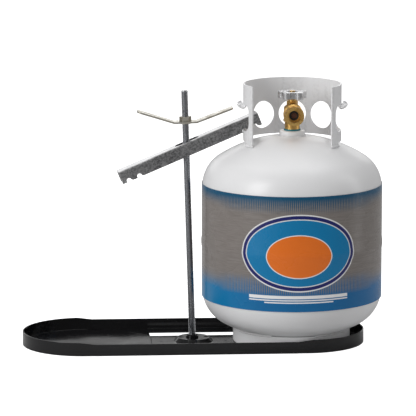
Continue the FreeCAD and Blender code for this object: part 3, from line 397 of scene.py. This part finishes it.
labelLook = {
    "grey": (0.175, 0.155, 0.142), "greyLight": (0.245, 0.222, 0.208),
    "topBlue": (0.000, 0.075, 0.160), "bottomBlue": (0.000, 0.130, 0.34), "skyBlue": (0.000, 0.190, 0.42),
    "orange": (0.80, 0.17, 0.015), "navy": (0.010, 0.014, 0.13), "white": (0.86, 0.86, 0.86),
    "stripes": 300, "stripeEdge": 0.55, "striped": (1.02, 0.80), "lowBlueFrom": (-0.15, -0.06),
    "grain": 40.0, "grainDetail": 4.0, "grainStretch": (1.0, 1.0, 22.0),
    "marks": 18.0, "roughness": (0.20, 0.32), "specular": 0.35,
    "ripple": 30.0, "rippleDetail": 2.0, "rippleStretch": (1.0, 1.0, 0.35), "rippleStrength": 0.10,
    "rippleDepth": 0.002,
}
# distances in from the label's top and bottom edges
bandLook = {"topFade": (0.034, 0.006), "bottomFade": (0.066, 0.030), "topSolid": (0.016, 0.004),
            "bottomSolid": (0.036, 0.026), "stripeFull": 0.4, "full": 0.7}
badgeLook = {
    "half": (0.098, 0.062), "coreHalf": (0.056, 0.036), "height": 0.183, "coreLift": -0.006,
    "edge": (1.015, 0.985),
    "rings": ((0.0045, "white"), (0.0025, "navy"), (-0.0035, "white"), (-0.0050, "skyBlue")),
    "coreRings": ((0.0015, "white"), (0.0, "orange")),
}
# each rule: height over the label's bottom edge, half length, half thickness
ruleLook = {"rules": ((0.0250, 0.088, 0.0026), (0.0195, 0.088, 0.0009), (0.0155, 0.060, 0.0009)),
            "endBlur": 0.001, "sideBlur": 0.0003}


def makeLabel():
    look, badge = labelLook, badgeLook
    material, tree, shader = newMaterial("printedLabel")
    low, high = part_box("label_wrap")
    bottom, top = low[2], high[2]
    radius = (high[0] - low[0]) / 2
    split = addNode(tree, "ShaderNodeSeparateXYZ")
    plug(tree, objectCoords(tree), split.inputs[0])
    across = maths(tree, "SUBTRACT", split.outputs["X"], tankAxis.x)
    depth = maths(tree, "MULTIPLY", split.outputs["Y"], -1.0)
    angle = maths(tree, "ARCTAN2", across, depth)
    height = split.outputs["Z"]
    # vertical stripes carry both blue bands into the grey
    wave = maths(tree, "SINE", maths(tree, "MULTIPLY", angle, look["stripes"]))
    stripe = spread(tree, wave, -look["stripeEdge"], look["stripeEdge"])
    front = spread(tree, maths(tree, "ABSOLUTE", angle), *look["striped"])
    sides = maths(tree, "SUBTRACT", 1.0, front)

    def belowTop(name):
        return spread(tree, height, *[top - inset for inset in bandLook[name]])

    def overBottom(name):
        return spread(tree, height, *[bottom + inset for inset in bandLook[name]])

    def band(fade, solid):
        striped = maths(tree, "MULTIPLY", stripe, spread(tree, fade, 0.0, bandLook["stripeFull"]))
        soft = maths(tree, "MULTIPLY", fade, fade)
        picked = maths(tree, "ADD", maths(tree, "MULTIPLY", striped, front),
                       maths(tree, "MULTIPLY", soft, sides))
        shown = maths(tree, "MULTIPLY", picked, spread(tree, fade, 0.0, bandLook["full"]))
        return maths(tree, "MAXIMUM", shown, solid, clamp=True)

    grain = noise(tree, objectCoords(tree), look["grain"], look["grainDetail"],
                  stretch=look["grainStretch"])
    grey = mixColour(tree, spread(tree, grain, 0.3, 0.7), look["grey"], look["greyLight"])
    colour = mixColour(tree, band(belowTop("topFade"), belowTop("topSolid")), grey, look["topBlue"])
    lowBlue = mixColour(tree, spread(tree, across, *look["lowBlueFrom"]), look["skyBlue"],
                        look["bottomBlue"])
    colour = mixColour(tree, band(overBottom("bottomFade"), overBottom("bottomSolid")), colour, lowBlue)
    # plain oval badge: nested ellipses, no lettering
    alongArc = maths(tree, "MULTIPLY", angle, radius)
    up = maths(tree, "SUBTRACT", height, badge["height"])

    def oval(grow, lift, halves):
        a = maths(tree, "DIVIDE", alongArc, halves[0] + grow)
        b = maths(tree, "DIVIDE", maths(tree, "SUBTRACT", up, lift), halves[1] + grow)
        ring = maths(tree, "ADD", maths(tree, "MULTIPLY", a, a), maths(tree, "MULTIPLY", b, b))
        return spread(tree, ring, *badge["edge"])

    for grow, ink in badge["rings"]:
        colour = mixColour(tree, oval(grow, 0.0, badge["half"]), colour, look[ink])
    for grow, ink in badge["coreRings"]:
        colour = mixColour(tree, oval(grow, badge["coreLift"], badge["coreHalf"]), colour, look[ink])
    # three plain rules under the badge
    for ruleHeight, ruleHalf, ruleThick in ruleLook["rules"]:
        fromRule = maths(tree, "ABSOLUTE", maths(tree, "SUBTRACT", height, bottom + ruleHeight))
        inside = maths(tree, "MULTIPLY",
                       spread(tree, maths(tree, "ABSOLUTE", alongArc), ruleHalf + ruleLook["endBlur"],
                              ruleHalf),
                       spread(tree, fromRule, ruleThick + ruleLook["sideBlur"], ruleThick))
        colour = mixColour(tree, inside, colour, look["white"])
    plug(tree, colour, shader.inputs["Base Color"])
    marks = useGroup(tree, smudge, objectCoords(tree), Size=look["marks"])
    setRoughness(tree, shader, marks, *look["roughness"])
    ripples = noise(tree, objectCoords(tree), look["ripple"], look["rippleDetail"],
                    stretch=look["rippleStretch"])
    plug(tree, bump(tree, ripples, look["rippleStrength"], look["rippleDepth"]), shader.inputs["Normal"])
    shader.inputs["Specular IOR Level"].default_value = look["specular"]
    return material


trayPaint = makeTrayPaint()
tankPaint = makeTankPaint()
galvanised = makeGalvanised()
labelPrint = makeLabel()
metals = {name: makeMetal(name) for name in metalLooks}
plains = {name: makePlain(name) for name in plainLooks}
print("materials ready")

# pieces from the CAD solids

smoothAngle = math.radians(32)
cleanLook = {"merge": 1e-6, "flat": 0.6, "butt": 0.0001}


def finishMesh(piece, material, edge=0.0, segments=2, weighted=False):
    mesh = piece.data
    mesh.materials.clear()
    mesh.materials.append(material)
    for polygon in mesh.polygons:
        polygon.use_smooth = True
    if edge:
        rounding = piece.modifiers.new("softEdge", "BEVEL")
        rounding.width = edge
        rounding.segments = segments
        rounding.limit_method = "WEIGHT" if weighted else "ANGLE"
        rounding.angle_limit = smoothAngle
        rounding.harden_normals = True
        rounding.miter_outer = "MITER_ARC"


def polish(node, material, edge, segments, flushX=None):
    # a merged copy of the CAD solid, with its edges rounded over and its curves smooth
    mesh = frame["nodes"][node].data.copy()
    piece = bpy.data.objects.new(node + "_finish", mesh)
    bpy.context.scene.collection.objects.link(piece)
    bm = bmesh.new()
    bm.from_mesh(mesh)
    bmesh.ops.remove_doubles(bm, verts=bm.verts, dist=cleanLook["merge"])
    bmesh.ops.dissolve_limit(bm, angle_limit=math.radians(cleanLook["flat"]), verts=bm.verts,
                             edges=bm.edges)
    for seam in bm.edges:
        seam.smooth = not (len(seam.link_faces) == 2 and seam.calc_face_angle(0) > smoothAngle)
    if flushX:
        # edges of a butt joint stay sharp, so that no groove shows between the two pieces
        weight = bm.edges.layers.float.new("bevel_weight_edge")
        for seam in bm.edges:
            butted = all(abs(abs(corner.co.x) - flushX) < cleanLook["butt"] for corner in seam.verts)
            seam[weight] = 0.0 if seam.smooth or butted else 1.0
    bm.to_mesh(mesh)
    bm.free()
    oldNormals = mesh.attributes.get("custom_normal")
    if oldNormals:
        mesh.attributes.remove(oldNormals)
    finishMesh(piece, material, edge, segments, flushX is not None)
    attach(piece, bodyOfNode[node])
    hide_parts(node)


finishTable = {
    # node: (material, rounded edge in metres, segments)
    "left_pan": (trayPaint, 0.0007, 3), "right_pan": (trayPaint, 0.0007, 3),
    "front_rail": (trayPaint, 0.0007, 3), "rear_rail": (trayPaint, 0.0007, 3),
    "centre_bridge": (trayPaint, 0.0006, 3), "rod_base_nut": (trayPaint, 0.0005, 3),
    "rod_lock_nut": (metals["rodZinc"], 0.0004, 2), "wing_bar": (metals["clampZinc"], 0.0007, 3),
    "wing_hex_nut": (metals["clampZinc"], 0.0007, 3), "wing_washer": (metals["clampZinc"], 0.0002, 2),
    "hold_down_bar": (galvanised, 0.0004, 2), "collar": (tankPaint, 0.0006, 3),
    "foot_ring": (tankPaint, 0.0005, 2), "valve_boss": (tankPaint, 0.0008, 3),
    "thread_seal": (plains["tealSealant"], 0.0005, 3), "valve_body": (metals["brassCast"], 0.0014, 4),
    "packing_nut": (metals["brassCast"], 0.0006, 3), "valve_stem": (metals["brassTurned"], 0.0002, 2),
    "valve_plug": (metals["brassTurned"], 0.0002, 2), "stem_packing": (plains["blackRubber"], 0.0002, 2),
    "handwheel": (metals["castAlloy"], 0.0030, 4), "handwheel_screw": (metals["brassTurned"], 0.0004, 3),
    "outlet_seat_ring": (plains["blackRubber"], 0.0003, 2),
    "outlet_poppet": (plains["brownPlastic"], 0.0006, 3),
    "outlet_spring": (metals["springSteel"], 0.0, 0), "relief_spring": (metals["springSteel"], 0.0, 0),
    "relief_poppet": (metals["brassTurned"], 0.0002, 2), "relief_cap": (metals["brassTurned"], 0.0003, 2),
    "bleed_screw": (metals["brassTurned"], 0.0003, 2), "dip_tube": (metals["brassTurned"], 0.0001, 1),
    "upper_shell": (tankPaint, 0.0, 0), "lower_shell": (tankPaint, 0.0, 0),
    "girth_weld": (tankPaint, 0.0, 0),
    "label_wrap": (labelPrint, 0.0, 0),
}
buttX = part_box("front_rail")[1][0]
trayNodes = ("left_pan", "right_pan", "front_rail", "rear_rail")
for nodeName, (look, edgeSize, steps) in finishTable.items():
    polish(nodeName, look, edgeSize, steps, buttX if nodeName in trayNodes else None)
print("CAD solids finished")

# threads, turned once and repeated along their axis

threadProfile = (("root", 0.0), ("root", 0.12), ("crest", 0.44), ("crest", 0.56), ("root", 0.88),
                 ("root", 1.0))
mergeGap = 0.00002
rodLook = {
    "pitch": 0.00175, "crest": 0.0060, "root": 0.0051, "perTurn": 20, "core": 0.0050, "coreSides": 40,
    "threadStart": 0.0008, "threadLess": 0.0014, "footInset": 0.0002, "coreLess": 0.0006,
    "tip": 0.0016, "tipFromEnd": 0.0022, "tipInset": 0.0002,
}
outletLook = {"pitch": 0.0030, "crest": 0.0172, "root": 0.0162, "perTurn": 48, "threadStart": 0.006,
              "turns": 7}


def meshPiece(name, bm, material, body, replaced=(), sharp=True):
    mesh = bpy.data.meshes.new(name)
    for seam in bm.edges:
        if sharp and len(seam.link_faces) == 2 and seam.calc_face_angle(0) > smoothAngle:
            seam.smooth = False
    bm.to_mesh(mesh)
    bm.free()
    piece = bpy.data.objects.new(name, mesh)
    bpy.context.scene.collection.objects.link(piece)
    finishMesh(piece, material)
    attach(piece, body)
    if replaced:
        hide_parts(*replaced)
    return piece


def alongAxis(bm, axis, origin):
    # stands a mesh made about +Z on another axis
    turn = Vector((0, 0, 1)).rotation_difference(axis).to_matrix().to_4x4()
    bmesh.ops.transform(bm, matrix=Matrix.Translation(origin) @ turn, verts=bm.verts)


def makeTurn(look):
    # one V of the thread, spun once with a lift of one pitch
    bm = bmesh.new()
    chain = [bm.verts.new((look[edge], 0, look["threadStart"] + share * look["pitch"]))
             for edge, share in threadProfile]
    edges = [bm.edges.new(pair) for pair in zip(chain, chain[1:])]
    bmesh.ops.spin(bm, geom=chain + edges, cent=(0, 0, 0), axis=(0, 0, 1), angle=math.tau,
                   steps=look["perTurn"], dvec=(0, 0, look["pitch"] / look["perTurn"]))
    bmesh.ops.recalc_face_normals(bm, faces=bm.faces)
    return bm


def repeatTurns(piece, axis, pitch, count):
    turns = piece.modifiers.new("turns", "ARRAY")
    turns.use_relative_offset = False
    turns.use_constant_offset = True
    turns.constant_offset_displace = axis * pitch
    turns.count = count
    turns.use_merge_vertices = True
    turns.merge_threshold = mergeGap


def makeRod():
    look = rodLook
    axis = Vector(joints["wing_turn"]["axis"])
    point = Vector(joints["wing_turn"]["pos_m"])
    low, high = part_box("threaded_rod")
    length = (high[2] - low[2]) / axis.z
    foot = point - axis * ((point.z - low[2]) / axis.z - look["footInset"])
    bm = makeTurn(look)
    alongAxis(bm, axis, foot)
    thread = meshPiece("rod_thread", bm, metals["rodZinc"], "stand", ("threaded_rod",))
    repeatTurns(thread, axis, look["pitch"], int((length - look["threadLess"]) / look["pitch"]) - 1)
    # a plain core fills the thread, with a tapered lead at each end
    tipWide = look["crest"] - look["tipInset"]
    bm = bmesh.new()
    for start, depth, wide, narrow in ((0.0, length - look["coreLess"], look["core"], look["core"]),
                                       (0.0, look["tip"], look["core"], tipWide),
                                       (length - look["tipFromEnd"], look["tip"], tipWide, look["core"])):
        bmesh.ops.create_cone(bm, cap_ends=True, segments=look["coreSides"], radius1=wide, radius2=narrow,
                              depth=depth, matrix=Matrix.Translation((0, 0, start + depth / 2)))
    alongAxis(bm, axis, foot)
    meshPiece("rod_core", bm, metals["rodZinc"], "stand")


def makeOutletThread():
    # coarse outside thread on the front of the outlet barrel
    mount = [m for m in record["mounts"] if m["name"] == "gas_outlet_thread"][0]
    axis = -Vector(mount["axis"])
    bm = makeTurn(outletLook)
    alongAxis(bm, axis, Vector(mount["pos_m"]))
    thread = meshPiece("outlet_thread", bm, metals["brassCast"], "stand")
    repeatTurns(thread, axis, outletLook["pitch"], outletLook["turns"])


makeRod()
makeOutletThread()
print("threads finished")

# weld beads

weldLook = {"ripple": 0.0022, "fewest": 3, "sway": 0.12, "smoothing": 2}
arcLook = {"beat": 2.3, "flat": 1}
seamLook = {"beat": 1.9, "flat": 0.6}
bridgeLook = {"endInset": 0.003, "sink": 0.0003, "bead": 0.0013, "sheet": 0.002}
creaseLook = {"outer": (0.109, 0.078), "inner": (0.0745, 0.0435), "bead": 0.0011}
footLook = {"inset": 0.0002, "lift": 0.0002, "start": 20, "every": 90, "count": 4, "sweep": 45,
            "bead": 0.0019}
collarLook = {"radius": 0.0846, "legStarts": (-41.5, 12.0, 143.0, 196.5), "legWide": 15.0, "lift": 0.0004,
              "bead": 0.0023}
bossLook = {"radius": 0.0222, "sink": 0.0002, "sweep": 357, "bead": 0.0016}


def makeBead(name, spots, bead, shape, material):
    # small overlapping ripples, one on each spot
    squash = Matrix.Diagonal((1, 1, shape["flat"], 1))
    bm = bmesh.new()
    for i, spot in enumerate(spots):
        size = bead * (1 + weldLook["sway"] * math.sin(i * shape["beat"]))
        bmesh.ops.create_icosphere(bm, subdivisions=weldLook["smoothing"], radius=size,
                                   matrix=Matrix.Translation(spot) @ squash)
    meshPiece(name, bm, material, "stand", sharp=False)


def ripplesIn(length):
    return max(int(length / weldLook["ripple"]), weldLook["fewest"])


def makeTankWeld(name, radius, height, startDegrees, sweepDegrees, bead):
    count = ripplesIn(math.radians(abs(sweepDegrees)) * radius)
    spots = []
    for i in range(count):
        angle = math.radians(startDegrees + sweepDegrees * i / (count - 1))
        spots.append(Vector((tankAxis[0] + radius * math.cos(angle), tankAxis[1] + radius * math.sin(angle),
                             height)))
    makeBead(name, spots, bead, arcLook, tankPaint)


def makeTraySeam(name, start, stop, bead):
    start, stop = Vector(start), Vector(stop)
    count = ripplesIn((stop - start).length)
    spots = [start.lerp(stop, i / (count - 1)) for i in range(count)]
    makeBead(name, spots, bead, seamLook, trayPaint)


bridgeLow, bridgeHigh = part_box("centre_bridge")
sheetTop = floorHeight + bridgeLook["sheet"]
for side, tag in ((-1, "left"), (1, "right")):
    x = bridgeHigh[0] * side
    makeTraySeam("bridge_weld_" + tag,
                 (x, bridgeLow[1] + bridgeLook["endInset"], sheetTop - bridgeLook["sink"]),
                 (x, bridgeHigh[1] - bridgeLook["endInset"],
                  sheetTop - bridgeLook["sink"]), bridgeLook["bead"])
for sideX, tagX in ((-1, "left"), (1, "right")):
    for sideY, tagY in ((-1, "front"), (1, "rear")):
        start, stop = ((sideX * x, sideY * y, sheetTop) for x,
                       y in (creaseLook["outer"], creaseLook["inner"]))
        makeTraySeam("floor_crease_%s_%s" % (tagX, tagY), start, stop, creaseLook["bead"])
footLow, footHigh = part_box("foot_ring")
footRadius = (footHigh[0] - footLow[0]) / 2
for i in range(footLook["count"]):
    makeTankWeld("foot_weld_%d" % i, footRadius - footLook["inset"], footHigh[2] + footLook["lift"],
                 footLook["start"] + footLook["every"] * i, footLook["sweep"], footLook["bead"])
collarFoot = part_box("collar")[0][2]
for i, legStart in enumerate(collarLook["legStarts"]):
    makeTankWeld("collar_weld_%d" % i, collarLook["radius"], collarFoot + collarLook["lift"], legStart,
                 collarLook["legWide"], collarLook["bead"])
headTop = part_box("upper_shell")[1][2]
makeTankWeld("boss_weld", bossLook["radius"], headTop - bossLook["sink"], 0, bossLook["sweep"],
             bossLook["bead"])
print("welds finished")

# floor, light and camera

cameraLook = {"azimuth": -3.5, "elevation": 10.0, "distance": 5.74, "target": (0.0253, 0.0, 0.2354),
              "lens": 288.2, "sensor": 36, "far": 100}
stageLook = {"floor": (0.60, 0.60, 0.60), "sky": 0.29, "backdrop": 1.0, "glow": 1.0, "size": 12,
             "drop": 0.0002,
             "roughness": 0.9, "specular": 0.1, "white": (1, 1, 1, 1)}
lampTable = {
    "leftBox": {"place": (-2.2, -1.9, 1.5), "aim": (0.1, 0, 0.25), "size": (1.1, 2.2), "power": 58,
                "seen": True},
    "rightStrip": {"place": (2.3, -0.2, 1.0), "aim": (0.0, 0, 0.25), "size": (0.35, 2.2), "power": 10,
                   "seen": True},
    "topBox": {"place": (0.1, 0.3, 2.6), "aim": (0.1, 0, 0.2), "size": (2.4, 1.6), "power": 21,
               "seen": True},
    "backPanel": {"place": (0.0, 2.6, 1.05), "aim": (0.05, 0, 0.42), "size": (3.2, 0.75), "power": 12,
                  "seen": False},
}


def makeFloor():
    look = stageLook
    bm = bmesh.new()
    bmesh.ops.create_grid(bm, x_segments=1, y_segments=1, size=look["size"],
                          matrix=Matrix.Translation((0, 0, floorHeight - look["drop"])))
    mesh = bpy.data.meshes.new("floor")
    bm.to_mesh(mesh)
    bm.free()
    floor = bpy.data.objects.new("floor", mesh)
    bpy.context.scene.collection.objects.link(floor)
    material, tree, shader = newMaterial("paleFloor")
    shader.inputs["Base Color"].default_value = (*look["floor"], 1)
    shader.inputs["Roughness"].default_value = look["roughness"]
    shader.inputs["Specular IOR Level"].default_value = look["specular"]
    shader.inputs["Emission Color"].default_value = look["white"]
    seen = addNode(tree, "ShaderNodeLightPath").outputs["Is Camera Ray"]
    plug(tree, maths(tree, "MULTIPLY", seen, look["glow"]), shader.inputs["Emission Strength"])
    mesh.materials.append(material)


def makeLamp(name, look):
    light = bpy.data.lights.new(name, "AREA")
    light.shape = "RECTANGLE"
    light.size, light.size_y = look["size"]
    light.energy = look["power"]
    lamp = bpy.data.objects.new(name, light)
    lamp.location = look["place"]
    lamp.visible_camera = look["seen"]
    lamp.rotation_euler = (Vector(look["aim"]) - Vector(look["place"])).to_track_quat("-Z", "Y").to_euler()
    bpy.context.scene.collection.objects.link(lamp)


def makeWorld():
    # the camera sees a white backdrop, and the object is lit by a dimmer sky
    world = bpy.data.worlds.new("studioWorld")
    world.use_nodes = True
    tree = world.node_tree
    sky = tree.nodes["Background"]
    sky.inputs["Color"].default_value = stageLook["white"]
    direct = addNode(tree, "ShaderNodeLightPath").outputs["Is Camera Ray"]
    strength = spread(tree, direct, 0.0, 1.0, stageLook["sky"], stageLook["backdrop"])
    plug(tree, strength, sky.inputs["Strength"])
    bpy.context.scene.world = world


def makeCamera():
    look = cameraLook
    around, up = math.radians(look["azimuth"]), math.radians(look["elevation"])
    back = Vector((math.sin(around) * math.cos(up), -math.cos(around) * math.cos(up), math.sin(up)))
    camera = bpy.data.cameras.new("studioCamera")
    camera.lens = look["lens"]
    camera.sensor_width = look["sensor"]
    camera.clip_end = look["far"]
    holder = bpy.data.objects.new("studioCamera", camera)
    holder.location = Vector(look["target"]) + back * look["distance"]
    holder.rotation_euler = back.to_track_quat("Z", "Y").to_euler()
    bpy.context.scene.collection.objects.link(holder)
    bpy.context.scene.camera = holder


makeFloor()
for lampName, lampLook in lampTable.items():
    makeLamp(lampName, lampLook)
makeWorld()
bpy.context.scene.view_settings.view_transform = "Standard"
makeCamera()
print("stage ready")
